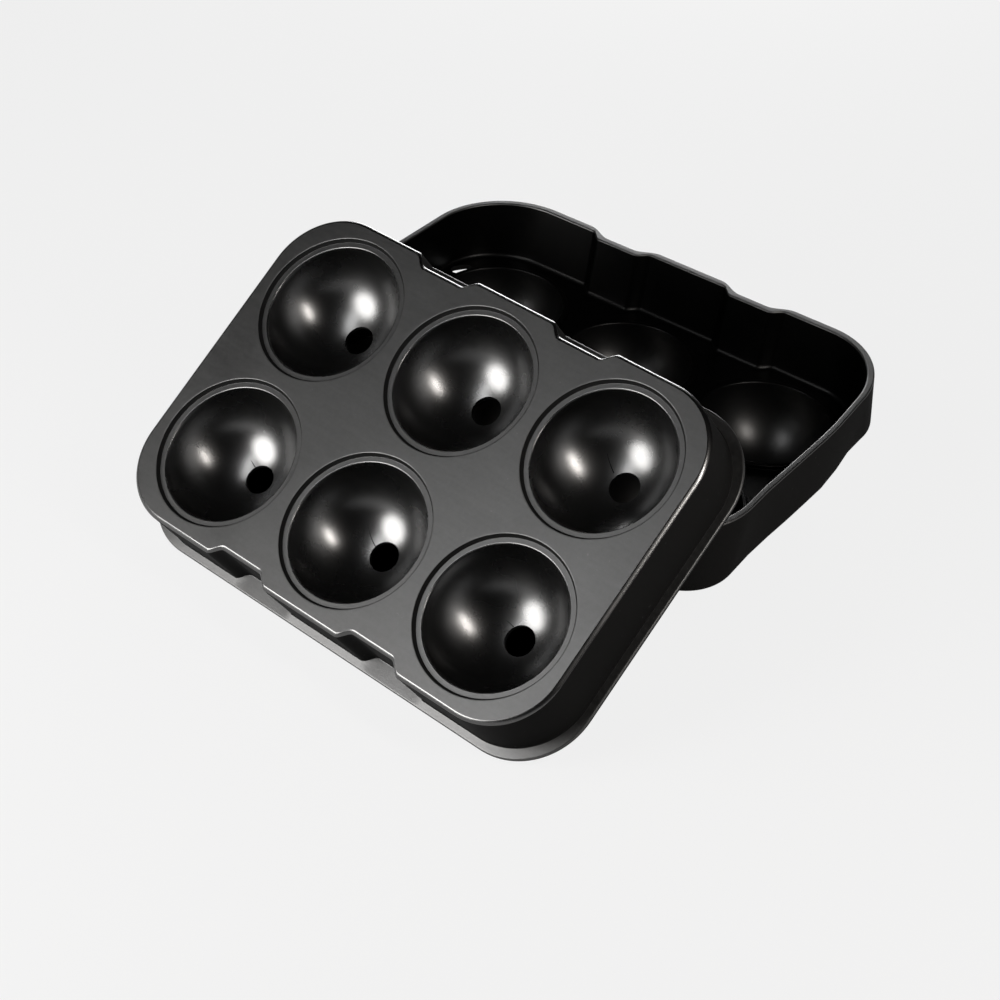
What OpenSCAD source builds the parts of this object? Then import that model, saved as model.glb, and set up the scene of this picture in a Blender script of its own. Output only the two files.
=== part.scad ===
// Ice ball mould: a deep tray with six half-ball cups, and the lid that plugs into it.
// The tray stands on the feet of its cups. The lid is off: it lies face up, with its lower edge
// on the surface and the backs of its upper cups on the rim of the tray.

/* [Balls] */
// Diameter of one ice ball
ball_d = 45; // [42:0.5:48]
// Distance between the centres of neighbouring balls
pitch = 55; // [53.5:0.5:58]
// Balls along the long side
cols = 3; // [2:1:4]
// Balls along the short side
rows = 2; // [1:1:3]

/* [Lid] */
// Distance from the outer ball centres to the plate's edge at its short sides
edge_x = 30; // [29:0.5:34]
// Distance from the outer ball centres to the plate's edge at its long sides
edge_y = 29.7; // [29:0.1:34]
// Corner radius of the plate
corner_r = 23; // [18:0.5:26]
// Height of the plug from its face to the flange
plug_h = 21.1; // [18:0.1:24]
// How much the plug widens from its face to the flange
plug_draft = 0.3; // [0.2:0.1:1.2]
// Radius of the rounded edge of the plate
plate_edge_r = 1.5; // [0.8:0.1:2]
// Width of the flange outside the plug
flange_w = 2.8; // [2:0.1:4]
// Thickness of the flange
flange_t = 2; // [1.6:0.1:2.5]
// Radius of the rounded edges of the flange
flange_r = 0.6; // [0.3:0.1:0.8]
// How much tighter the corners of the flange are than those of the plate
flange_corner = 2; // [0:0.5:3]
// Diameter of the fill hole at the top of each cup
fill_d = 9.8; // [6:0.1:12]

/* [Dents] */
// Width of a dent at the face of the side wall
dent_w = 25.5; // [20:0.5:27]
// Width of the flat bottom of a dent
dent_flat = 15; // [10:0.5:17]
// Depth of a dent
dent_d = 3.5; // [1.5:0.1:4]
// How much further each slope of a dent reaches on the outside of the tray, at either end
dent_soft = 2.2; // [0:0.1:2.5]

/* [Rings] */
// Height of the raised ring round each cup of the tray, and depth of its recess in the lid
ring_h = 1.5; // [1:0.1:2]
// Width of the ring's foot
ring_w = 1.8; // [1.4:0.1:2.2]
// Clearance round the ring in its recess
ring_gap = 0.2; // [0.1:0.05:0.4]
// How much the recess widens towards the face of the plate
recess_draft = 0.4; // [0.1:0.1:0.6]

/* [Tray] */
// Clearance between the plug and the tray's wall
plug_gap = 0.3; // [0.2:0.1:1]
// How far the long walls lean out at the rim, on top of the plug's draft
splay = 3.5; // [0:0.1:4]
// How much the inner corner radius grows from the floor to the rim
corner_open = 4; // [0:0.5:4]
// Thickness of the side wall at the floor
side_t = 1.8; // [1.6:0.1:3]
// How much thicker the long walls are at the floor
foot_open = 2.3; // [0:0.1:3]
// How much tighter the outer corners are at the floor than the inner ones
foot_corner = 7; // [0:0.5:8]
// Width of the rim
rim_w = 2.1; // [1.9:0.1:3.5]
// How much wider the rim is along the long sides
rim_open = 0.6; // [0:0.1:1]
// Radius of the rounded edges of the rim
rim_r = 0.5; // [0.3:0.1:0.8]
// Radius of the outer bottom edge
bottom_r = 3.5; // [2.5:0.5:5]
// Radius between the floor and the wall inside
floor_r = 1.5; // [0.8:0.1:2]
// Width of the drain slot in the floor
drain_d = 5; // [3:0.1:5.2]
// Length of the drain slot
drain_l = 7; // [5.5:0.5:9]

/* [Skin] */
// Wall thickness of the cups
cup_t = 1.5; // [1.2:0.1:2]
// Thickness of the tray's floor, the lid's plate and the plug's wall
skin_t = 2; // [1.6:0.1:2.5]
// Height cut off the bottom of each tray cup to make its foot
foot_cut = 0.4; // [0.2:0.1:0.7]

/* [Pose of the lid] */
// Distance on the surface from the tray's rim to the lid's lower edge
foot_out = 62.9; // [50:0.1:80]
// Turn of the lid about the vertical
lid_turn = -4; // [-8:0.5:8]
// Shift of the lid along the tray
lid_shift = 0.5; // [-10:0.5:10]
// Clearance between the lid's cups and the tray's rim
seat_gap = 0.3; // [0.2:0.05:0.5]

/* [Hidden] */
silicone = [0.09, 0.09, 0.095];
$fn = 96;
ball_r = ball_d / 2;
cup_r = ball_r + cup_t;
span_x = (cols - 1) * pitch / 2;
span_y = (rows - 1) * pitch / 2;
plate_x = span_x + edge_x;
plate_y = span_y + edge_y;
centres = [for (i = [0 : cols - 1], j = [0 : rows - 1]) [i * pitch - span_x, j * pitch - span_y]];
dent_xs = [for (i = [0 : cols - 2]) (i + 0.5) * pitch - span_x];
dent_slope = (dent_w - dent_flat) / 2;
arc_steps = 10;   // steps of one corner of an outline
slope_steps = 6;  // steps of one slope of a dent
edge_steps = 3;   // steps of a small rounded edge
bottom_steps = 5; // steps of the outer bottom edge
// Radius of the ring's outside, and of the recess that it enters
ring_r = ball_r + ring_w;
recess_r = ring_r + ring_gap;
// Height of the tray's floor above the surface that it stands on, and of its rim
floor_z = cup_r - foot_cut;
rim_z = floor_z + plug_h;
// Half length and half width of the tray at its rim
rim_x = plate_x + plug_gap + plug_draft + rim_w;
rim_y = plate_y + plug_gap + plug_draft + rim_w + splay + rim_open;
cut = 0.01;       // overlap of joined solids

// Depth of the dents at a place x along a long side, as a share of their full depth, with slopes
// that reach further by soft at either end
function ramp(t) = (1 - cos(180 * max(0, min(1, t)))) / 2;
function dent_at(x, soft) = max([0, for (c = dent_xs)
    ramp((dent_w / 2 + soft - abs(x - c)) / (dent_slope + 2 * soft))]);
// Places along a long side, from left to right, where an outline needs a point
function slope_at(x, soft) =
    [for (i = [0 : slope_steps]) x - soft + (dent_slope + 2 * soft) * i / slope_steps];
function dent_steps(soft) = [for (c = dent_xs) each concat(
    slope_at(c - dent_w / 2, soft), slope_at(c + dent_flat / 2, soft))];
// Outline of half width hx, half depth hy and corner radius r, with dents d deep in its long sides
function corner(cx, cy, r, start) =
    [for (i = [0 : arc_steps]) let (a = start + 90 * i / arc_steps) [cx + r * cos(a), cy + r * sin(a)]];
function outline(hx, hy, r, d, soft) = concat(
    corner(hx - r, -hy + r, r, -90),
    corner(hx - r, hy - r, r, 0),
    [for (x = dent_steps(soft)) [-x, hy - d * dent_at(-x, soft)]],
    corner(-hx + r, hy - r, r, 90),
    corner(-hx + r, -hy + r, r, 180),
    [for (x = dent_steps(soft)) [x, -hy + d * dent_at(x, soft)]]);

// One ring of a loft: grow, the height, how far it is opened in y and in its corners, the depth of
// its dents and how far their slopes reach
function ring_of(p) = [for (q = outline(plate_x + p[0], plate_y + p[0] + p[2],
    max(1, corner_r + p[0] + p[3]), p[4], p[5])) [q[0], q[1], p[1]]];
// Solid through a list of rings, closed by a fan at its first and one at its last
module loft(profile) {
    rings = [for (p = profile) ring_of(p)];
    n = len(rings[0]);
    m = len(rings);
    tips = [[0, 0, rings[0][0][2]], [0, 0, rings[m - 1][0][2]]];
    polyhedron(points = concat([for (r = rings) each r], tips), convexity = 6, faces = concat(
        [for (i = [0 : n - 1]) [i, (i + 1) % n, m * n]],
        [for (k = [0 : m - 2], i = [0 : n - 1])
            let (a = k * n + i, b = k * n + (i + 1) % n) each [[a, a + n, b], [b, a + n, b + n]]],
        [for (i = [0 : n - 1]) [(m - 1) * n + (i + 1) % n, (m - 1) * n + i, m * n + 1]]));
}

// Round edge in a profile, from one angle to the other about a centre given as grow and height
function edge(c, r, from, to, steps) =
    [for (i = [0 : steps]) let (a = from + (to - from) * i / steps) [c[0] + r * cos(a), c[1] + r * sin(a)]];

// Profile of the lid from the underside of its plate, over the flange, to the plate's face
foot_g = plug_draft;
back_z = -plug_h - flange_t;
lid_profile = concat(
    [for (p = [[-skin_t, -skin_t], [foot_g - skin_t, back_z]]) [p[0], p[1], 0, 0, dent_d, 0]],
    [for (p = concat(
        edge([foot_g + flange_w - flange_r, back_z + flange_r], flange_r, -90, 0, edge_steps),
        edge([foot_g + flange_w - flange_r, -plug_h - flange_r], flange_r, 0, 90, edge_steps)
        )) [p[0], p[1], 0, -flange_corner, 0, 0]],
    [[foot_g, -plug_h, 0, 0, dent_d, 0]],
    [for (p = edge([-plate_edge_r, -plate_edge_r], plate_edge_r, 0, 90, 2 * edge_steps))
        [p[0], p[1], 0, 0, dent_d, 0]]);

// Profile of the tray from its underside, over the rim, to its floor. The long walls splay with
// the height, and their outside starts further out than their inside.
function opened(g, z, out) = let (s = max(0, z) / plug_h, foot = out * (1 - s))
    [g + plug_gap + plug_draft * s, z, (splay + out * rim_open) * s + foot_open * foot,
     corner_open * s - foot_corner * foot, dent_d, out * dent_soft];
tray_profile = concat(
    [for (p = concat(
        edge([side_t - bottom_r, bottom_r - skin_t], bottom_r, -90, 0, bottom_steps),
        edge([rim_w - rim_r, plug_h - rim_r], rim_r, 0, 90, edge_steps))) opened(p[0], p[1], 1)],
    [for (p = concat(
        edge([rim_r, plug_h - rim_r], rim_r, 90, 180, edge_steps),
        edge([-floor_r, floor_r], floor_r, 0, -90, edge_steps))) opened(p[0], p[1], 0)]);

// Outside of a cup, below the floor or the plate that carries it
module cup_out() {
    intersection() {
        sphere(r = cup_r);
        translate([0, 0, -cup_r - skin_t / 2]) cube([3 * cup_r, 3 * cup_r, 2 * cup_r], center = true);
    }
}

// Raised ring round a cup, with a bevelled top
module cup_ring() {
    bevel = ring_h / 3;
    inner = ball_r - cup_t;
    rotate_extrude() polygon([[inner, -skin_t / 2], [ring_r, -skin_t / 2], [ring_r, ring_h - bevel],
        [ring_r - bevel, ring_h], [inner, ring_h]]);
}

module tray() {
    color(silicone) translate(origin_shift + [0, 0, floor_z]) difference() {
        union() {
            loft(tray_profile);
            for (c = centres) translate([c[0], c[1], 0]) {
                cup_out();
                cup_ring();
            }
        }
        for (c = centres) translate([c[0], c[1], 0]) {
            sphere(r = ball_r);
            translate([0, 0, -cup_r - cut]) cylinder(r = cup_r, h = foot_cut + cut);
        }
        drain();
    }
}

// The drain is a slot through the floor, between the ring and the wall of the far left cup. It
// follows the ring and tapers to its far end.
module drain() {
    way = (ring_r + plate_x - span_x + plug_gap) / 2;
    step = (drain_l - drain_d * 0.85) / way * 180 / PI;
    translate([-span_x, span_y, 0]) hull() {
        rotate([0, 0, 162]) translate([way, 0, -2 * skin_t]) cylinder(d = drain_d, h = 3 * skin_t);
        rotate([0, 0, 162 - step]) translate([way, 0, -2 * skin_t])
            cylinder(d = drain_d * 0.7, h = 3 * skin_t);
    }
}

// Recess in the lid's face that takes the ring of a tray cup
module recess() {
    translate([0, 0, -ring_h]) cylinder(r1 = recess_r, r2 = recess_r + recess_draft, h = ring_h + cut);
}

// Thicker round of the lid's back behind each recess
module shoulder() {
    translate([0, 0, -ring_h - skin_t])
        cylinder(r = recess_r + recess_draft + cup_t, h = ring_h + skin_t / 2);
}

// The lid in its own frame: face up at z = 0, cups below
module lid_body() {
    difference() {
        union() {
            loft(lid_profile);
            for (c = centres) translate([c[0], c[1], 0]) {
                cup_out();
                shoulder();
            }
        }
        for (c = centres) translate([c[0], c[1], 0]) {
            sphere(r = ball_r);
            recess();
            translate([0, 0, -2 * cup_r]) cylinder(d = fill_d, h = 2 * cup_r);
        }
    }
}

// Centre of the flange's lower round: how far it stands out from the plate's outline, half its
// depth across the lid, and how far it lies behind the face
low_g = foot_g + flange_w - flange_r;
low_y = plate_y + low_g;
low_z = plug_h + flange_t - flange_r;
// Height of the middle of the plate's face when the lid is tilted by t with its edge on the surface
function face_z(t) = flange_r + low_y * sin(t) + low_z * cos(t);
// Its place across the tray, with the middle of the lower edge foot_out from the rim
function face_y(t) = -rim_y - foot_out + (low_y * cos(t) - low_z * sin(t)) * cos(lid_turn);
// Clearance between the rim's rounded outer edge and the nearest of the lid's cups, at tilt t
function clearance(t) = min([for (c = centres)
    norm([face_y(t) + c[0] * sin(lid_turn) + c[1] * cos(t) * cos(lid_turn) + rim_y - rim_r,
          face_z(t) + c[1] * sin(t) - rim_z + rim_r]) - cup_r - rim_r]);
// Tilt at which that clearance is the wanted one, found by halving the range lo to hi
function lean(lo, hi, n) = let (mid = (lo + hi) / 2)
    n == 0 ? mid : clearance(mid) > seat_gap ? lean(lo, mid, n - 1) : lean(mid, hi, n - 1);
tilt = lean(15, 75, 24);

// Reach of the plate's outline, grown by g and with its corners tighter by c, in the direction (u, v)
function reach(g, c, u, v) = (plate_x - corner_r + c) * abs(u) + (plate_y - corner_r + c) * abs(v)
    + (corner_r + g - c) * norm([u, v]);
// Half length of the lid's flange along the tray, and the place of its middle
half_x = reach(low_g, flange_corner, cos(lid_turn), sin(lid_turn) * cos(tilt)) + flange_r;
mid_x = lid_shift - sin(lid_turn) * sin(tilt) * low_z;
// Place across the tray of the lower edge of the lid's face
near_y = face_y(tilt) + cos(lid_turn) * sin(tilt) * plate_edge_r - plate_edge_r
    - reach(-plate_edge_r, 0, sin(lid_turn), cos(lid_turn) * cos(tilt));
// The part's origin is the middle of the footprint of both pieces, on the surface
left_x = min(mid_x - half_x, -rim_x);
right_x = max(mid_x + half_x, rim_x);
origin_shift = [-(left_x + right_x) / 2, -(near_y + rim_y) / 2, 0];

// The lid leans on the tray
module lid() {
    color(silicone) translate(origin_shift + [lid_shift, face_y(tilt), face_z(tilt)])
        rotate([0, 0, lid_turn]) rotate([tilt, 0, 0]) lid_body();
}

tray();
lid();
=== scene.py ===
"""Black silicone ice ball mould: a tray, and its lid leaning on the tray's rim."""

import math

import bpy
from mathutils import Euler, Matrix, Vector, geometry


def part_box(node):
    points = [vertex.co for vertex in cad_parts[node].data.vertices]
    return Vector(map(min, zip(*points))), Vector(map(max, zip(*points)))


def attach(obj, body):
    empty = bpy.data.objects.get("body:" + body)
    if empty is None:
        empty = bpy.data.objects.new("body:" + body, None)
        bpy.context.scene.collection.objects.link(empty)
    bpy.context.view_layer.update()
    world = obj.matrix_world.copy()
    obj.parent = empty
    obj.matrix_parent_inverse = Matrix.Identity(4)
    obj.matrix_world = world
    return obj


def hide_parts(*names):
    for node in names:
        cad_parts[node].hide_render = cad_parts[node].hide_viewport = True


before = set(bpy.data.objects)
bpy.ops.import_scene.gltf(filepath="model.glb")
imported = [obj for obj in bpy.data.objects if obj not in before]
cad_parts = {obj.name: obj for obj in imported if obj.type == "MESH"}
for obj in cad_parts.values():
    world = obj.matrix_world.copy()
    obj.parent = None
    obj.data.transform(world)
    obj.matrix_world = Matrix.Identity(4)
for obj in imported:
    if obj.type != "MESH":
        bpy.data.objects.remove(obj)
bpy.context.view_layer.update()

# Sizes in metres, the same as in the part's source
BALL_R = 0.0225
PITCH = 0.055
DENT_XS = (-PITCH / 2, PITCH / 2)
CUPS = [((i - 1) * PITCH, (j - 0.5) * PITCH) for i in range(3) for j in range(2)]
PLATE_X = PITCH + 0.030
PLATE_Y = PITCH / 2 + 0.0297
CORNER_R = 0.023
PLUG_H = 0.0211
PLUG_DRAFT = 0.0003
FLANGE_W = 0.0028
FLANGE_T = 0.002
FLANGE_R = 0.0006
FLANGE_CORNER = 0.002
FILL_R = 0.0049
DENT_W = 0.0255
DENT_FLAT = 0.015
DENT_D = 0.0035
DENT_SOFT = 0.0022
RING_H = 0.0015
RING_R = BALL_R + 0.0018
RECESS_R = RING_R + 0.0002
RECESS_TOP_R = RECESS_R + 0.0004
PLUG_GAP = 0.0003
SPLAY = 0.0035
CORNER_OPEN = 0.004
SIDE_T = 0.0018
FOOT_OPEN = 0.0023
FOOT_CORNER = 0.007
RIM_W = 0.0021
RIM_OPEN = 0.0006
RIM_R = 0.0005
BOTTOM_R = 0.0035
FLOOR_R = 0.0015
DRAIN_R = 0.0025
CUP_T = 0.0015
SKIN_T = 0.002
CUP_R = BALL_R + CUP_T
SHOULDER_R = RECESS_TOP_R + CUP_T
FOOT_CUT = 0.0004
FLOOR_Z = CUP_R - FOOT_CUT
RIM_Z = FLOOR_Z + PLUG_H
RIM_Y = PLATE_Y + PLUG_GAP + PLUG_DRAFT + RIM_W + SPLAY + RIM_OPEN
FOOT_OUT = 0.0629
LID_TURN = math.radians(-4)
LID_SHIFT = 0.0005
SEAT_GAP = 0.0003

# The drain slot: its length, its small end's radius as a share of the other's, and its first angle
DRAIN_L = 0.0078
DRAIN_TAPER = 0.7
DRAIN_START = math.radians(161)

# Small roundings, and how far the flange's front face lies below the plug's foot
EDGE_SOFT = 0.0004
RING_SOFT = 0.0006
LIP = 0.00025
FLANGE_DROOP = 0.0003

# Flat row beside an edge, widening of the drain, first step of a cup's underside, and its pole in radians
FLAT_RIM = 0.0004
DRAIN_GROWTH = 0.0001
CUP_START = 0.0001
POLE = 0.04

# The plate's edge: radius of its bend up to each angle in degrees
EDGE_BENDS = ((14, 0.0003), (30, 0.0013), (60, 0.0024), (91, 0.0005))

# Flow marks left beside the fill holes: cup, angles in degrees and radii
MARK_W = 0.00032
MARK_LIFT = 0.00004
MARK_TAPER = 0.7
MARK_STEPS = 8
MARKS = [(2, (165, 152), (0.0049, 0.0110)),
         (5, (158, 149), (0.0060, 0.0116)),
         (0, (149, 151), (0.0050, 0.0077)),
         (4, (150, 157), (0.0050, 0.0076))]

# The tray's right corners, bent out of shape: angle at the cup, half width in degrees, move outward,
# and how much more its foot moves. The far bend acts above FAR_FROM_Y, and the near one below 0.
# The wall's foot also bulges outward between the corners. Nothing moves at the cup's ring.
FAR_BEND = (27, 62, -0.0023, 0.5)
NEAR_BEND = (-45, 50, 0.0017, 0.2)
FAR_FROM_Y = -0.005
FOOT_BULGE = 0.0008
BULGE_REACH = 0.045
BEND_START = 0.004

# How finely the curves are cut
CORNER_STEPS = 26
SLOPE_STEPS = 12
SIDE_STEPS = 8
CUP_STEPS = 128
EDGE_STEPS = 18
SHARP_ANGLE = math.radians(50)

# Places of the finishes in the list of materials
MATT, SATIN, PLATE, CUP, DEEP = range(5)

# Finishes. Their values are explained at silicone().
FINISHES = (
    dict(name="matt_silicone", colour=0.011, dust=0.04, specular=0.015, ior=1.41, rough=0.6, coarse=0.2),
    dict(name="satin_silicone", colour=0.0005, dust=0.002, specular=0.79, ior=1.8, rough=0.27, coarse=0.12),
    dict(name="plate_silicone", colour=0.013, dust=0.06, specular=0.6, ior=1.8, rough=0.42, coarse=0.45,
         worn=0.7),
    dict(name="cup_silicone", colour=0.0005, dust=0.005, specular=1.0, ior=1.41, rough=0.34, coarse=0.15),
    dict(name="deep_silicone", colour=0.0004, dust=0.005, specular=0.25, ior=1.41, rough=0.36, coarse=0.15),
)
GRAIN_DEPTH = 0.0001
ROUGH_SPREAD = 0.03

# Table and backdrop
TABLE_SIZE = 12
TABLE_Z = -0.00005
TABLE_SHOWN = 0.93
TABLE_OWN = 0.5
GLOW_SHARE = 0.9
MIRRORED_SHARE = 0.4
BACKDROP = 0.88
ROOM_LIGHT = 0.01

# Painted shadows on the table, from the tray's middle: (middle, half width, softness) along x and y, and
# depth
PAINTED_SHADOW_UNDER_LID = ((-0.015, 0.062, 0.020), (-0.083, 0.012, 0.022), 1.0)
PAINTED_SHADOW_UNDER_BOTH = ((-0.025, 0.030, 0.045), (-0.020, 0.030, 0.055), 0.85)

# Lamps: name, place from the tray's middle, size, watts, turn in degrees and colour
LAMPS = (
    ("front_light", (-0.206, -0.486, 0.163), (0.348, 0.278), 2.6, 12.8, (1, 0.985, 0.965)),
    ("side_light", (0.354, -0.090, 0.288), (0.254, 0.05), 0.85, 50.3, (1, 0.95, 0.9)),
    ("upper_light", (-0.117, -0.359, 0.380), (0.316, 0.138), 0.54, -2.5, (1, 1, 1)),
    ("back_light", (-0.30, 0.50, 0.13), (0.4, 0.16), 1.7, 0, (1, 1, 1)),
)
LAMP_AIM = Vector((0, 0, -0.01))

# Camera, placed from the tray's middle on the table
CAMERA_PLACE = Vector((0.3212, -0.48419, 0.4386))
CAMERA_TURN = (51.608, -2.018, 37.624)
CAMERA_LENS = 76.9
CAMERA_SENSOR = 36


def spread(start, end, steps):
    """steps + 1 values from start to end."""
    return [start + (end - start) * i / steps for i in range(steps + 1)]


def arc(cx, cy, r, start, end, steps):
    """Points on an arc, between two angles in degrees."""
    return [(cx + r * math.cos(math.radians(a)), cy + r * math.sin(math.radians(a)))
            for a in spread(start, end, steps)]


def globe(r, z_from, z_to, steps):
    """Lower half of a ball's outline between two heights, as (radius, height)."""
    a, b = math.asin(z_from / r), math.asin(z_to / r)
    return [(r * math.cos(t), r * math.sin(t)) for t in spread(a, b, steps)]


def dent_at(x, soft):
    """Depth of the dents at a place along a long side, as a share of the full depth."""
    slope = (DENT_W - DENT_FLAT) / 2 + 2 * soft
    shares = [min(1, max(0, (DENT_W / 2 + soft - abs(x - c)) / slope)) for c in DENT_XS]
    return max((1 - math.cos(math.pi * s)) / 2 for s in shares)


def side_places(soft):
    """Places along a long side, from left to right, that follow its dents."""
    wide, flat = DENT_W / 2 + soft, DENT_FLAT / 2 - soft
    places = []
    for c in DENT_XS:
        places += spread(c - wide, c - flat, SLOPE_STEPS)
        places += spread(c - flat, c + flat, SIDE_STEPS)[1:-1]
        places += spread(c + flat, c + wide, SLOPE_STEPS)
    return sorted(places + spread(DENT_XS[0] + wide, DENT_XS[1] - wide, SIDE_STEPS)[1:-1])


def outline(grow=0.0, open_y=0.0, corner=0.0, dent=0.0, soft=0.0):
    """Rounded rectangle round the plate, grown outward, with dents in its long sides."""
    hx, hy, r = PLATE_X + grow, PLATE_Y + grow + open_y, CORNER_R + grow + corner
    cx, cy = hx - r, hy - r
    points = arc(cx, -cy, r, -90, 0, CORNER_STEPS)
    points += [(hx, y) for y in spread(-cy, cy, SIDE_STEPS)[1:-1]]
    points += arc(cx, cy, r, 0, 90, CORNER_STEPS)
    points += [(-x, hy - dent * dent_at(x, soft)) for x in side_places(soft)]
    points += arc(-cx, cy, r, 90, 180, CORNER_STEPS)
    points += [(-hx, y) for y in spread(cy, -cy, SIDE_STEPS)[1:-1]]
    points += arc(-cx, -cy, r, 180, 270, CORNER_STEPS)
    points += [(x, -hy + dent * dent_at(x, soft)) for x in side_places(soft)]
    return points


def inside(point, loop):
    """Whether a point lies inside a closed loop."""
    hit, x, y = False, point[0], point[1]
    for (ax, ay), (bx, by) in zip(loop, loop[1:] + loop[:1]):
        if (ay > y) != (by > y) and x < ax + (y - ay) / (by - ay) * (bx - ax):
            hit = not hit
    return hit


def finishes(count, spans, other):
    """Finish of each of count bands, from (first band, band after the last, finish)."""
    kinds = [other] * count
    for first, end, kind in spans:
        kinds[first:end] = [kind] * (end - first)
    return kinds


class Skin:
    """Surface of a moulding, built from closed rings of points and the flat plates between them."""

    def __init__(self):
        self.points = []
        self.faces = []
        self.kinds = []

    def ring(self, points, z):
        first = len(self.points)
        self.points += [(x, y, z) for x, y in points]
        return list(range(first, len(self.points)))

    def add(self, face, kind):
        self.faces.append(face)
        self.kinds.append(kind)

    def bridge(self, a, b, kind):
        for i, start in enumerate(a):
            j = (i + 1) % len(a)
            self.add((start, a[j], b[j], b[i]), kind)

    def loft(self, rings, kinds=None):
        """Joins a list of (points, height), and returns its first and last ring."""
        made = [self.ring(points, z) for points, z in rings]
        for k, (a, b) in enumerate(zip(made, made[1:])):
            self.bridge(a, b, kinds[k] if kinds else MATT)
        return made[0], made[-1]

    def revolve(self, profile, centre, kinds=None, steps=CUP_STEPS):
        """Turns a profile of (radius, height) about a vertical line, and returns its end rings."""
        turns = [2 * math.pi * k / steps for k in range(steps)]
        rings = [([(centre[0] + r * math.cos(t), centre[1] + r * math.sin(t)) for t in turns], z)
                 for r, z in profile]
        return self.loft(rings, kinds)

    def plate(self, edge, holes, up, kind):
        """Fills the flat region between an edge ring and the rings of its holes."""
        rings = [edge] + holes
        used = [i for ring in rings for i in ring]
        flat = [Vector(self.points[i][:2]) for i in used]
        sides, first = [], 0
        for ring in rings:
            sides += [(first + k, first + (k + 1) % len(ring)) for k in range(len(ring))]
            first += len(ring)
        found = geometry.delaunay_2d_cdt(flat, sides, [], 0, 1e-9)
        corners, origin = found[0], [o[0] for o in found[3]]
        loops = [[self.points[i][:2] for i in ring] for ring in rings]
        for face in found[2]:
            middle = sum((corners[k] for k in face), Vector((0, 0))) / 3
            if not inside(middle, loops[0]) or any(inside(middle, loop) for loop in loops[1:]):
                continue
            turn = (corners[face[1]] - corners[face[0]]).cross(corners[face[2]] - corners[face[0]])
            order = face if (turn > 0) == up else face[::-1]
            self.add(tuple(used[origin[k]] for k in order), kind)

    def close(self, ring, kind):
        """Closes a small round ring with one flat face."""
        self.add(tuple(ring), kind)

    def mark(self, centre, angles, radii):
        """A hair-thin dark line on a cup's inside, between two angles in degrees and two radii."""
        left, right = [], []
        for t in spread(0, 1, MARK_STEPS):
            angle = math.radians(angles[0] + (angles[1] - angles[0]) * t)
            r = radii[0] + (radii[1] - radii[0]) * t
            half = MARK_W / 2 * (1 - MARK_TAPER * t)
            z = -math.sqrt(BALL_R ** 2 - r ** 2) + MARK_LIFT
            for side, row in ((half, left), (-half, right)):
                x = centre[0] + r * math.cos(angle) - side * math.sin(angle)
                y = centre[1] + r * math.sin(angle) + side * math.cos(angle)
                row.append(len(self.points))
                self.points.append((x, y, z))
        for k in range(MARK_STEPS):
            self.add((left[k], right[k], right[k + 1], left[k + 1]), MATT)

    def build(self, name, matrix):
        """Makes the mesh object, moved by a matrix."""
        mesh = bpy.data.meshes.new(name)
        mesh.from_pydata(self.points, [], self.faces)
        mesh.transform(matrix)
        mesh.validate()
        mesh.shade_smooth()
        mesh.set_sharp_from_angle(angle=SHARP_ANGLE)
        piece = bpy.data.objects.new(name, mesh)
        bpy.context.scene.collection.objects.link(piece)
        weigh = piece.modifiers.new("even_shading", "WEIGHTED_NORMAL")
        weigh.keep_sharp = True
        return piece


def plate_edge():
    """Rounded edge from the plate down to the wall, with its bend as in EDGE_BENDS, as (growth, height)."""
    g, z = 0.0, 0.0
    places = [(-FLAT_RIM, 0.0), (0.0, 0.0)]
    for t in range(1, EDGE_STEPS + 1):
        middle = 90 * (t - 0.5) / EDGE_STEPS
        bend = next(r for end, r in EDGE_BENDS if middle < end)
        step = bend * math.radians(90) / EDGE_STEPS
        g += step * math.cos(math.radians(middle))
        z -= step * math.sin(math.radians(middle))
        places.append((g, z))
    return [(a - g, b) for a, b in places]


def lid_rows():
    """Rows from the plate's edge to the back, as (growth, height, dent), and the flange's first row."""
    foot = PLUG_DRAFT
    back = -PLUG_H - FLANGE_T
    soft = EDGE_SOFT
    rows = [(g, z, DENT_D) for g, z in plate_edge()]
    edge_low = rows[-1][1]
    wall_h = PLUG_H + edge_low - soft
    rows += [(foot * t, edge_low - wall_h * t, DENT_D) for t in (0.25, 0.5, 0.75)]
    rows += [(g, z, DENT_D) for g, z in arc(foot + soft, -PLUG_H + soft, soft, 180, 270, 5)]
    flange = len(rows) - 2
    outer = foot + FLANGE_W - FLANGE_R
    rows += [(g, z, 0) for g, z in arc(outer, -PLUG_H - FLANGE_DROOP - FLANGE_R, FLANGE_R, 90, 0, 6)]
    rows += [(g, z, 0) for g, z in arc(outer, back + FLANGE_R, FLANGE_R, 0, -90, 6)]
    inner = foot - SKIN_T
    rows += [(g, z, DENT_D) for g, z in arc(inner + soft, back + soft, soft, -90, -180, 5)]
    rows += [(g, z, DENT_D) for g, z in arc(inner - 2 * soft, -SKIN_T - 2 * soft, 2 * soft, 0, 90, 6)]
    return rows, flange


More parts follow.
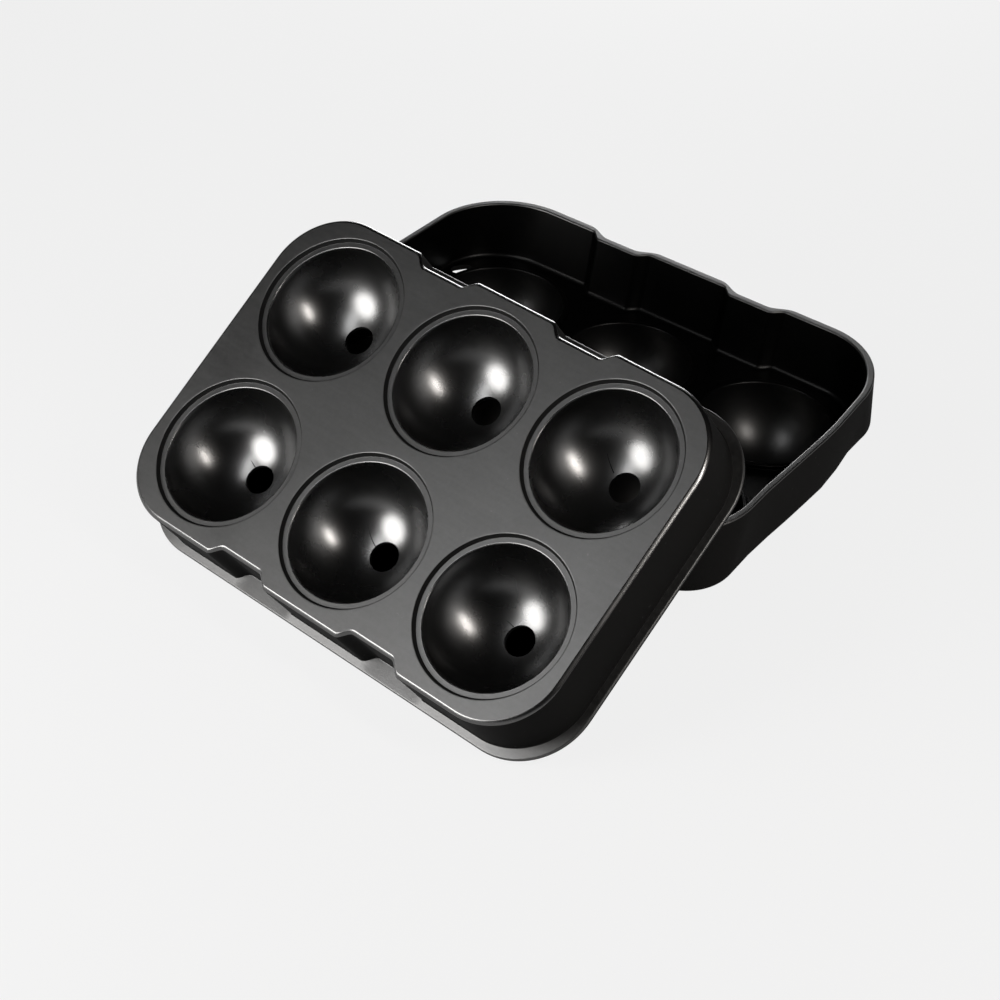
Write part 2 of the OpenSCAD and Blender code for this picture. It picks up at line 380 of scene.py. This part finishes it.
def lid_cup():
    """Profile of a cup of the lid, from the plate through the fill hole to the back, and its finishes."""
    soft = EDGE_SOFT
    hole_top = -math.sqrt(BALL_R ** 2 - FILL_R ** 2)
    hole_low = -math.sqrt(CUP_R ** 2 - FILL_R ** 2)
    profile = [(RECESS_TOP_R + soft + FLAT_RIM, 0)]
    profile += arc(RECESS_TOP_R + soft, -soft, soft, 90, 180, 5)
    profile += arc(RECESS_R - LIP, -RING_H + LIP, LIP, 0, -90, 4)
    profile += arc(BALL_R + soft, -RING_H - soft, soft, 90, 180, 6)
    profile += globe(BALL_R, -RING_H - 2 * soft, hole_top, 44)
    hole = len(profile) - 1
    profile += globe(CUP_R, hole_low, -RING_H - SKIN_T, 40)
    profile += [(SHOULDER_R - LIP, -RING_H - SKIN_T), (SHOULDER_R, -RING_H - SKIN_T + LIP)]
    profile += arc(SHOULDER_R + LIP, -SKIN_T - LIP, LIP, 180, 90, 3)
    kinds = finishes(len(profile), ((0, 3, PLATE), (10, 12, PLATE), (12, hole, SATIN)), MATT)
    return profile, kinds


def make_lid():
    """The lid with its face at height 0 and its cups below."""
    skin = Skin()
    rows, flange = lid_rows()
    rings = [(outline(g, corner=0 if d else -FLANGE_CORNER, dent=d), z) for g, z, d in rows]
    kinds = finishes(len(rings) - 1, ((0, 3, PLATE), (3, 14, SATIN), (flange, flange + 8, PLATE)), MATT)
    back_edge, face_edge = skin.loft(rings[::-1], kinds[::-1])
    profile, kinds = lid_cup()
    holes = [skin.revolve(profile, centre, kinds) for centre in CUPS]
    for cup, angles, radii in MARKS:
        skin.mark(CUPS[cup], angles, radii)
    skin.plate(face_edge, [face for face, back in holes], True, PLATE)
    skin.plate(back_edge, [back for face, back in holes], False, MATT)
    return skin


def leaning(g, z, out):
    """Outline of the tray at height z over its floor, grown by g, on its inside or its outside."""
    s = max(0, z) / PLUG_H
    foot = (1 - s) if out else 0
    return outline(g + PLUG_GAP + PLUG_DRAFT * s, (SPLAY + out * RIM_OPEN) * s + FOOT_OPEN * foot,
                   CORNER_OPEN * s - FOOT_CORNER * foot, DENT_D, out * DENT_SOFT)


def drain_outline(grow):
    """Slot between two round ends of different size that follows the ring of the far left cup."""
    way = (RING_R + PLATE_X - PITCH + PLUG_GAP) / 2
    end_angle = DRAIN_START - (DRAIN_L - (1 + DRAIN_TAPER) * DRAIN_R) / way
    ax, ay = -PITCH + way * math.cos(DRAIN_START), PITCH / 2 + way * math.sin(DRAIN_START)
    bx, by = -PITCH + way * math.cos(end_angle), PITCH / 2 + way * math.sin(end_angle)
    ra, rb = DRAIN_R + grow, DRAIN_TAPER * DRAIN_R + grow
    axis = math.degrees(math.atan2(by - ay, bx - ax))
    lean = math.degrees(math.acos((ra - rb) / math.hypot(bx - ax, by - ay)))
    wide_end = arc(ax, ay, ra, axis + lean, axis + 360 - lean, 24)
    return wide_end + arc(bx, by, rb, axis - lean, axis + lean, 16)


def swell(away, reach):
    """1 at no distance away, falling smoothly to 0 at reach."""
    return math.cos(math.radians(min(90, abs(away) / reach * 90))) ** 2


def pressed(x, y, z):
    """Place of a point of the tray, whose soft right corners are pressed in or stand out a little."""
    cup_x, cup_y = PITCH, math.copysign(PITCH / 2, y)
    dx, dy = x - cup_x, y - cup_y
    reach = math.hypot(dx, dy)
    if x < cup_x or reach < RING_R:
        return x, y, z
    angle = math.degrees(math.atan2(dy, dx))
    low = 1 - max(0, z) / PLUG_H
    amount = FOOT_BULGE * low * swell(y, BULGE_REACH)
    bends = [FAR_BEND] if y > FAR_FROM_Y else []
    bends += [NEAR_BEND] if y < 0 else []
    for middle, half, move, more in bends:
        amount += move * swell(angle - middle, half) * (1 + more * low)
    amount *= min(1, (reach - RING_R) / BEND_START)
    return x + amount * dx / reach, y + amount * dy / reach, z


def tray_rows():
    """Rows of the tray's wall from the outer bottom edge over the rim to the floor."""
    rows = [(g, z, True) for g, z in arc(SIDE_T - BOTTOM_R, BOTTOM_R - SKIN_T, BOTTOM_R, -90, 0, 10)]
    rows += [(SIDE_T + (RIM_W - SIDE_T) * t, PLUG_H * t, True) for t in (0.3, 0.5, 0.7, 0.85)]
    rim = len(rows)
    rows += [(g, z, True) for g, z in arc(RIM_W - RIM_R, PLUG_H - RIM_R, RIM_R, 0, 90, 6)]
    rows += [(g, z, False) for g, z in arc(RIM_R, PLUG_H - RIM_R, RIM_R, 90, 180, 6)]
    rim_end = len(rows) - 1
    rows += [(0, PLUG_H * t, False) for t in (0.85, 0.7, 0.5, 0.3)]
    rows += [(g, z, False) for g, z in arc(-FLOOR_R, FLOOR_R, FLOOR_R, 0, -90, 8)]
    return rows, finishes(len(rows), ((0, rim, MATT), (rim, rim_end, PLATE)), DEEP)


def tray_cup(skin, centre):
    """Adds a cup with its ring, and returns its rings in the floor's top and underside."""
    soft = RING_SOFT
    profile = arc(RING_R + LIP, LIP, LIP, -90, -180, 3)
    profile += arc(RING_R - soft, RING_H - soft, soft, 0, 90, 6)
    profile += arc(BALL_R + soft, RING_H - soft, soft, 90, 180, 6)
    profile += globe(BALL_R, 0, -BALL_R * math.cos(POLE), 48)
    kinds = finishes(len(profile), ((0, 16, DEEP),), CUP)
    floor_hole, pole = skin.revolve(profile, centre, kinds)
    skin.close(pole, CUP)
    profile = [(CUP_R * math.cos(math.asin(FLOOR_Z / CUP_R)), -FLOOR_Z)]
    profile += globe(CUP_R, -FLOOR_Z + CUP_START, -SKIN_T - LIP, 40)
    profile += arc(CUP_R + LIP, -SKIN_T - LIP, LIP, 180, 90, 4)
    foot, under_hole = skin.revolve(profile, centre)
    skin.close(foot[::-1], MATT)
    return floor_hole, under_hole


def make_tray():
    """The tray with its floor at height 0."""
    skin = Skin()
    rows, kinds = tray_rows()
    under_edge, floor_edge = skin.loft([(leaning(g, z, out), z) for g, z, out in rows], kinds)
    holes = [tray_cup(skin, centre) for centre in CUPS]
    holes.append(skin.loft([(drain_outline(0), 0), (drain_outline(DRAIN_GROWTH), -SKIN_T)]))
    skin.plate(floor_edge, [top for top, low in holes], True, DEEP)
    skin.plate(under_edge, [low for top, low in holes], False, MATT)
    skin.points = [pressed(*point) for point in skin.points]
    return skin


def lid_matrix():
    """Place of the lid: its lower edge on the surface and its upper cups on the tray's rim."""
    low_y = PLATE_Y + PLUG_DRAFT + FLANGE_W - FLANGE_R
    low_z = PLUG_H + FLANGE_T - FLANGE_R

    def face(t):
        across = -RIM_Y - FOOT_OUT + (low_y * math.cos(t) - low_z * math.sin(t)) * math.cos(LID_TURN)
        return across, FLANGE_R + low_y * math.sin(t) + low_z * math.cos(t)

    def clearance(t):
        y, z = face(t)
        gaps = []
        for cx, cy in CUPS:
            cup_y = y + cx * math.sin(LID_TURN) + cy * math.cos(t) * math.cos(LID_TURN)
            gaps.append(math.hypot(cup_y + RIM_Y - RIM_R, z + cy * math.sin(t) - RIM_Z + RIM_R))
        return min(gaps) - CUP_R - RIM_R

    low, high = math.radians(15), math.radians(75)
    for _ in range(30):
        t = (low + high) / 2
        low, high = (low, t) if clearance(t) > SEAT_GAP else (t, high)
    place = Matrix.Translation((LID_SHIFT, *face(t)))
    return place @ Matrix.Rotation(LID_TURN, 4, "Z") @ Matrix.Rotation(t, 4, "X")


class Graph:
    """Nodes of a material or of the world."""

    def __init__(self, owner):
        owner.use_nodes = True
        self.nodes = owner.node_tree.nodes
        self.links = owner.node_tree.links

    def join(self, value, socket):
        """Links a socket to another node's output, or sets it to a value."""
        if isinstance(value, bpy.types.NodeSocket):
            self.links.new(value, socket)
        else:
            socket.default_value = value

    def maths(self, operation, *inputs):
        node = self.nodes.new("ShaderNodeMath")
        node.operation = operation
        for socket, value in zip(node.inputs, inputs):
            self.join(value, socket)
        return node.outputs[0]

    def noise(self, vector, scale, detail, roughness):
        node = self.nodes.new("ShaderNodeTexNoise")
        self.join(scale, node.inputs["Scale"])
        self.join(detail, node.inputs["Detail"])
        self.join(roughness, node.inputs["Roughness"])
        self.join(vector, node.inputs["Vector"])
        return node.outputs["Fac"]

    def ramp(self, source, *stops):
        """Turns a value into greys between two (position, grey)."""
        node = self.nodes.new("ShaderNodeValToRGB")
        for element, (position, grey) in zip(node.color_ramp.elements, stops):
            element.position = position
            element.color = (grey, grey, grey, 1)
        self.join(source, node.inputs["Fac"])
        return node.outputs["Color"]

    def blend(self, first, second, share):
        """Mixes two values, with the second's share."""
        node = self.nodes.new("ShaderNodeMix")
        node.data_type = "FLOAT"
        self.join(share, node.inputs[0])
        self.join(first, node.inputs[2])
        self.join(second, node.inputs[3])
        return node.outputs[0]

    def tint(self, first, second):
        """Multiplies two colours."""
        node = self.nodes.new("ShaderNodeMix")
        node.data_type = "RGBA"
        node.blend_type = "MULTIPLY"
        self.join(1, node.inputs[0])
        self.join(first, node.inputs[6])
        self.join(second, node.inputs[7])
        return node.outputs[2]

    def mask(self, value, middle, half, soft):
        """1 within half of middle, and 0 further out than that by soft."""
        away = self.maths("ABSOLUTE", self.maths("SUBTRACT", value, middle))
        node = self.nodes.new("ShaderNodeMapRange")
        node.interpolation_type = "SMOOTHSTEP"
        self.join(away, node.inputs["Value"])
        for name, number in zip(("From Min", "From Max", "To Min", "To Max"), (half, half + soft, 1, 0)):
            self.join(number, node.inputs[name])
        return node.outputs[0]

    def place(self, kind):
        """The x, y and z outputs of one kind of coordinates."""
        node = self.nodes.new("ShaderNodeSeparateXYZ")
        self.join(self.nodes.new("ShaderNodeTexCoord").outputs[kind], node.inputs[0])
        return node.outputs

    def shown(self, mirrored_share):
        """1 for what the camera sees, and a share of 1 for what is seen in mirrors or through glass."""
        paths = self.nodes.new("ShaderNodeLightPath").outputs
        mirrored = self.maths("MAXIMUM", paths["Is Glossy Ray"], paths["Is Transmission Ray"])
        return self.maths("MAXIMUM", paths["Is Camera Ray"], self.maths("MULTIPLY", mirrored, mirrored_share))

    def mix(self, share, first, second, output):
        """Mixes two shaders into an output."""
        node = self.nodes.new("ShaderNodeMixShader")
        for socket, value in zip(node.inputs, (share, first, second)):
            self.join(value, socket)
        self.join(node.outputs[0], self.nodes[output].inputs["Surface"])


def silicone(name, colour, dust, specular, ior, rough, coarse, worn=0.0):
    """Black silicone with a fine grain and specks of dust.

    colour and dust are greys, and coarse is the strength of the grain. A worn one is also mottled,
    with faint streaks along the lid.
    """
    material = bpy.data.materials.new(name)
    graph = Graph(material)
    shader = graph.nodes["Principled BSDF"]
    shader.inputs["IOR"].default_value = ior
    shader.inputs["Specular IOR Level"].default_value = specular
    spots = graph.nodes.new("ShaderNodeTexCoord").outputs["Object"]
    grain = graph.noise(spots, 2600, 3, 0.6)
    specks = graph.noise(spots, 900, 2, 0.5)
    colours = graph.ramp(specks, (0.72, colour), (0.80, colour + dust))
    if worn:
        along = graph.nodes.new("ShaderNodeMapping")
        along.vector_type = "TEXTURE"
        along.inputs["Rotation"].default_value = lid_place.to_euler("XYZ")
        along.inputs["Scale"].default_value = (6, 0.8, 1)
        graph.join(spots, along.inputs["Vector"])
        streaks = graph.noise(along.outputs["Vector"], 420, 4, 0.7)
        texture = graph.blend(graph.noise(spots, 700, 4, 0.65), streaks, 0.5)
        grain = graph.blend(grain, texture, worn)
        colours = graph.tint(colours, graph.ramp(texture, (0.38, 0.1), (0.62, 1.0)))
    graph.join(colours, shader.inputs["Base Color"])
    cloud = graph.noise(spots, 35, 4, 0.6)
    roughness = graph.ramp(cloud, (0.3, rough - ROUGH_SPREAD), (0.7, rough + ROUGH_SPREAD))
    graph.join(roughness, shader.inputs["Roughness"])
    bump = graph.nodes.new("ShaderNodeBump")
    bump.inputs["Strength"].default_value = coarse
    bump.inputs["Distance"].default_value = GRAIN_DEPTH
    graph.join(grain, bump.inputs["Height"])
    graph.join(bump.outputs["Normal"], shader.inputs["Normal"])
    return material


def add_piece(skin, name, place):
    """Adds a moulding in place of the solid of this name."""
    piece = skin.build(name + "_moulding", place)
    for material in materials:
        piece.data.materials.append(material)
    piece.data.polygons.foreach_set("material_index", skin.kinds)
    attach(piece, "root")
    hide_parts(name)


def painted_shadow(graph, spot, along_x, along_y, depth):
    """A soft shadow painted on the table, from the tray's middle."""
    x_mask = graph.mask(spot["X"], tray_middle.x + along_x[0], *along_x[1:])
    y_mask = graph.mask(spot["Y"], tray_middle.y + along_y[0], *along_y[1:])
    return graph.maths("MULTIPLY", graph.maths("MULTIPLY", x_mask, y_mask), depth)


def add_table():
    """Pale table, which darkens under the pieces with a painted shadow."""
    bpy.ops.mesh.primitive_plane_add(size=TABLE_SIZE, location=(0, 0, TABLE_Z))
    table = bpy.context.active_object
    table.name = "table"
    paper = bpy.data.materials.new("pale_table")
    graph = Graph(paper)
    own = graph.nodes["Principled BSDF"]
    own.inputs["Roughness"].default_value = 1
    own.inputs["Specular IOR Level"].default_value = 0
    glow = graph.nodes.new("ShaderNodeEmission")
    glow.inputs["Color"].default_value = (TABLE_SHOWN, TABLE_SHOWN, TABLE_SHOWN, 1)
    spot = graph.place("Object")
    # Painted shadow: the table's own colour and its glow fade out under the lid and the tray
    under_lid = painted_shadow(graph, spot, *PAINTED_SHADOW_UNDER_LID)
    under_both = painted_shadow(graph, spot, *PAINTED_SHADOW_UNDER_BOTH)
    open_share = graph.maths("SUBTRACT", 1, graph.maths("MAXIMUM", under_lid, under_both))
    grey = graph.nodes.new("ShaderNodeCombineColor")
    for channel in grey.inputs:
        graph.join(graph.maths("MULTIPLY", open_share, TABLE_OWN), channel)
    graph.join(grey.outputs[0], own.inputs["Base Color"])
    glow_share = graph.maths("MULTIPLY", graph.shown(MIRRORED_SHARE), GLOW_SHARE)
    share = graph.maths("MULTIPLY", glow_share, open_share)
    graph.mix(share, own.outputs[0], glow.outputs[0], "Material Output")
    table.data.materials.append(paper)


def softbox(name, place, size, power, turned, colour):
    """A soft oval light that faces the lid, turned by degrees about its own axis."""
    lamp = bpy.data.lights.new(name, "AREA")
    lamp.shape = "ELLIPSE"
    lamp.size, lamp.size_y = size
    lamp.energy = power
    lamp.color = colour
    light = bpy.data.objects.new(name, lamp)
    bpy.context.scene.collection.objects.link(light)
    place = tray_middle + Vector(place)
    facing = (place - lid_place @ LAMP_AIM).normalized()
    across = facing.cross(lid_place.to_3x3() @ Vector((0, 0, 1))).normalized()
    turn = Matrix((across, facing.cross(across), facing)).transposed().to_4x4()
    light.matrix_world = Matrix.Translation(place) @ turn @ Matrix.Rotation(math.radians(turned), 4, "Z")
    light.visible_camera = False


def add_world():
    """Pale backdrop for the camera, mirrored only near the horizon, and a faint light from all round."""
    world = bpy.data.worlds.new("studio")
    bpy.context.scene.world = world
    graph = Graph(world)
    room = graph.nodes["Background"]
    room.inputs["Color"].default_value = (0.8, 0.8, 0.8, 1)
    room.inputs["Strength"].default_value = ROOM_LIGHT
    backdrop = graph.nodes.new("ShaderNodeBackground")
    backdrop.inputs["Color"].default_value = (BACKDROP, BACKDROP, BACKDROP, 1)
    horizon = graph.mask(graph.place("Generated")["Z"], 0, 0.03, 0.06)
    share = graph.shown(graph.maths("MULTIPLY", horizon, MIRRORED_SHARE))
    graph.mix(share, room.outputs[0], backdrop.outputs[0], "World Output")


def add_camera():
    """Camera at the photograph's place."""
    data = bpy.data.cameras.new("camera")
    data.sensor_width = CAMERA_SENSOR
    data.lens = CAMERA_LENS
    camera = bpy.data.objects.new("camera", data)
    bpy.context.scene.collection.objects.link(camera)
    camera.location = tray_middle + CAMERA_PLACE
    camera.rotation_euler = Euler([math.radians(a) for a in CAMERA_TURN], "XYZ")
    bpy.context.scene.camera = camera


tray_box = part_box("tray")
tray_middle = Vector(((tray_box[0].x + tray_box[1].x) / 2, (tray_box[0].y + tray_box[1].y) / 2, 0))
tray_place = Matrix.Translation(tray_middle + Vector((0, 0, FLOOR_Z)))
lid_place = Matrix.Translation(tray_middle) @ lid_matrix()
materials = [silicone(**finish) for finish in FINISHES]
add_piece(make_tray(), "tray", tray_place)
add_piece(make_lid(), "lid", lid_place)
add_table()
for lamp_values in LAMPS:
    softbox(*lamp_values)
add_world()
add_camera()

bpy.context.scene.view_settings.view_transform = "Standard"
